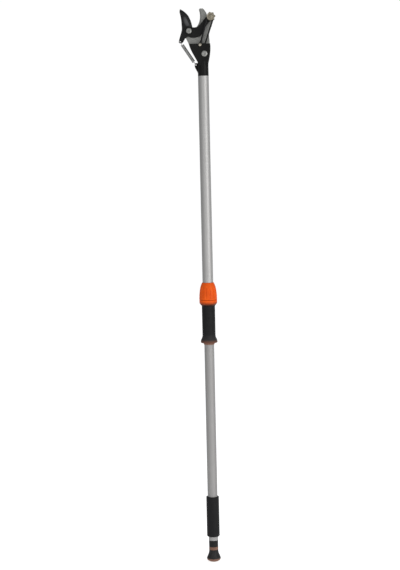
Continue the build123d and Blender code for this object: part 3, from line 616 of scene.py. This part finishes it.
def champagne_metal():
    """Cast light alloy with a champagne tint and a fine blasted skin."""
    f = Finish("champagne_metal", (0.36, 0.33, 0.27), 0.44, 0.85)
    skin = f.noise(1600, 3)
    edge = f.edges(0.4 * MM)
    tone = f.mix(f.span(f.noise(120, 4), 0.35, 0.7), (0.23, 0.205, 0.155), (0.32, 0.288, 0.223))
    tone = f.mix(f.maths("MULTIPLY", edge, 0.45), tone, (0.58, 0.54, 0.46))
    f.surface(Base_Color=tone, Roughness=f.span(skin, 0.3, 0.7, 0.38, 0.52))
    f.surface(Normal=f.bump(skin, 0.04 * MM, 0.6, f.rounded(0.4 * MM)))
    return f.material


def copper_alloy(name, dark, light, roughness):
    """Turned brass or bronze with light tarnish."""
    f = Finish(name, light, roughness, 1.0)
    tarnish = f.span(f.noise(260, 4, warp=0.4), 0.4, 0.72)
    lines = f.noise(1.0, 3, stretch=(1200, 1200, 1200))
    tone = f.mix(tarnish, light, dark)
    f.surface(Base_Color=tone, Roughness=f.span(lines, 0.3, 0.7, roughness - 0.05, roughness + 0.1))
    f.surface(Normal=f.bump(lines, 0.012 * MM, 0.6, f.rounded(0.3 * MM)))
    return f.material


def rope_fibre():
    """Black nylon braid: fine filaments, some paler than others, with a slight fuzz."""
    f = Finish("rope_fibre", (0.006, 0.006, 0.006), 0.72)
    filament = f.noise(1.0, 3, stretch=(5200, 5200, 2400))
    tone = f.mix(f.span(filament, 0.3, 0.75), (0.003, 0.003, 0.003), (0.012, 0.0118, 0.0115))
    f.surface(Base_Color=tone, Normal=f.bump(filament, 0.05 * MM, 0.7))
    f.surface(Sheen_Weight=0.06, Sheen_Roughness=0.45, Specular_IOR_Level=0.25)
    return f.material


MATERIALS = {
    "anodised_aluminium": anodised_tube("anodised_aluminium", UPPER_TUBE_TONES, 0.56),
    "dull_aluminium": anodised_tube("dull_aluminium", LOWER_TUBE_TONES, 0.68),
    "black_plastic": black_plastic(),
    "orange_plastic": orange_plastic(),
    "dull_orange_plastic": dull_orange_plastic(),
    "grip_rubber": grip_rubber(),
    "bush_plastic": bush_plastic(),
    "zinc_steel": zinc_steel(),
    "hook_steel": hook_steel(),
    "black_steel": black_steel(),
    "blade_steel": blade_steel(),
    "champagne_metal": champagne_metal(),
    "brass": copper_alloy("brass", (0.32, 0.28, 0.21), (0.54, 0.50, 0.42), 0.3),
    "bronze": copper_alloy("bronze", (0.24, 0.14, 0.06), (0.55, 0.36, 0.18), 0.4),
    "rope": rope_fibre(),
    "spring_steel": spring_steel(),
}


def paint_nodes():
    """Each CAD node gets the material of its slot."""
    for subpart in frame["record"]["subparts"]:
        node = frame["nodes"][subpart["node"]]
        finish = MATERIALS[subpart["material_slot"]]
        if not node.material_slots:
            node.data.materials.append(finish)
        for place in node.material_slots:
            place.material = finish


# ---------------------------------------------------------------- studio
FLOOR_RADIUS = 9.0
FLOOR_SIDES = 96
FLOOR_Z = -0.3 * MM
FLOOR_GLOW = (0.38, 0.74)  # as it lights the object, and as the camera sees it
SURROUND_STRENGTH = 0.4
BACKDROP_STRENGTH = 1.02
AIM_SHARE = 0.75  # each light aims at the pole, at this share of its own height
KEY = {"at": (2.1, -2.5, 1.5), "size": (1.9, 3.0), "power": 54.0}
FILL = {"at": (-1.3, -3.3, 1.5), "size": (2.0, 2.8), "power": 19.0}
RIM = {"at": (2.2, 1.2, 1.4), "size": (0.8, 2.8), "power": 5.0}


def make_floor():
    """A round plain white floor, which glows a little so that it stays even under the object."""
    bpy.ops.mesh.primitive_circle_add(vertices=FLOOR_SIDES, radius=FLOOR_RADIUS, fill_type="NGON")
    floor = bpy.context.object
    floor.location.z = FLOOR_Z
    floor.name = "studio_floor"
    finish = Finish("studio_floor_paint", (0.84, 0.84, 0.84), 0.9)
    seen = finish.nodes.new("ShaderNodeLightPath").outputs["Is Camera Ray"]
    glow = finish.span(seen, 0.0, 1.0, *FLOOR_GLOW)
    finish.surface(Emission_Color=(1.0, 1.0, 1.0), Emission_Strength=glow, Specular_IOR_Level=0.1)
    floor.data.materials.append(finish.material)


def make_world():
    """White behind the object, and a softer grey surround in its reflections."""
    world = bpy.data.worlds.new("studio")
    bpy.context.scene.world = world
    world.use_nodes = True
    nodes, links = world.node_tree.nodes, world.node_tree.links
    surround = nodes["Background"]
    surround.inputs["Color"].default_value = (0.95, 0.97, 1.0, 1)
    surround.inputs["Strength"].default_value = SURROUND_STRENGTH
    backdrop = nodes.new("ShaderNodeBackground")
    backdrop.inputs["Color"].default_value = (1, 1, 1, 1)
    backdrop.inputs["Strength"].default_value = BACKDROP_STRENGTH
    ray = nodes.new("ShaderNodeLightPath")
    choose = nodes.new("ShaderNodeMixShader")
    links.new(ray.outputs["Is Camera Ray"], choose.inputs[0])
    links.new(surround.outputs[0], choose.inputs[1])
    links.new(backdrop.outputs[0], choose.inputs[2])
    links.new(choose.outputs[0], nodes["World Output"].inputs["Surface"])


def make_softbox(name, light):
    """A tall rectangular light, aimed at the pole."""
    data = bpy.data.lights.new(name, "AREA")
    data.shape = "RECTANGLE"
    data.size, data.size_y = light["size"]
    data.energy = light["power"]
    softbox = bpy.data.objects.new(name, data)
    softbox.location = light["at"]
    aim = Vector((0, 0, light["at"][2] * AIM_SHARE)) - Vector(light["at"])
    softbox.rotation_euler = aim.to_track_quat("-Z", "Y").to_euler()
    bpy.context.scene.collection.objects.link(softbox)


CAMERA_AT = (-0.0181, -3.895, 1.1435)
CAMERA_TILT = radians(-0.817)
CAMERA_ROLL = radians(-1.2635)
CAMERA_LENS = 82.1  # lens and sensor in millimetres
CAMERA_SENSOR = 36
CAMERA_SHIFT = -0.15
CAMERA_CLIP_END = 60


def make_camera():
    """Long lens, level with the upper tube, rolled a little as the pole leans in the frame."""
    data = bpy.data.cameras.new("camera")
    data.lens = CAMERA_LENS
    data.sensor_width = CAMERA_SENSOR
    data.shift_y = CAMERA_SHIFT
    data.clip_end = CAMERA_CLIP_END
    camera = bpy.data.objects.new("camera", data)
    camera.location = CAMERA_AT
    camera.rotation_mode = "XYZ"
    forward = Vector((0, cos(CAMERA_TILT), sin(CAMERA_TILT)))
    level = forward.to_track_quat("-Z", "Y")
    camera.rotation_euler = (level @ Quaternion((0, 0, 1), CAMERA_ROLL)).to_euler()
    bpy.context.scene.collection.objects.link(camera)
    bpy.context.scene.camera = camera


make_camera()
make_world()
make_floor()
make_softbox("key_light", KEY)
make_softbox("fill_light", FILL)
make_softbox("rim_light", RIM)
bpy.context.scene.view_settings.view_transform = "Standard"

paint_nodes()
make_rope()
make_spring()
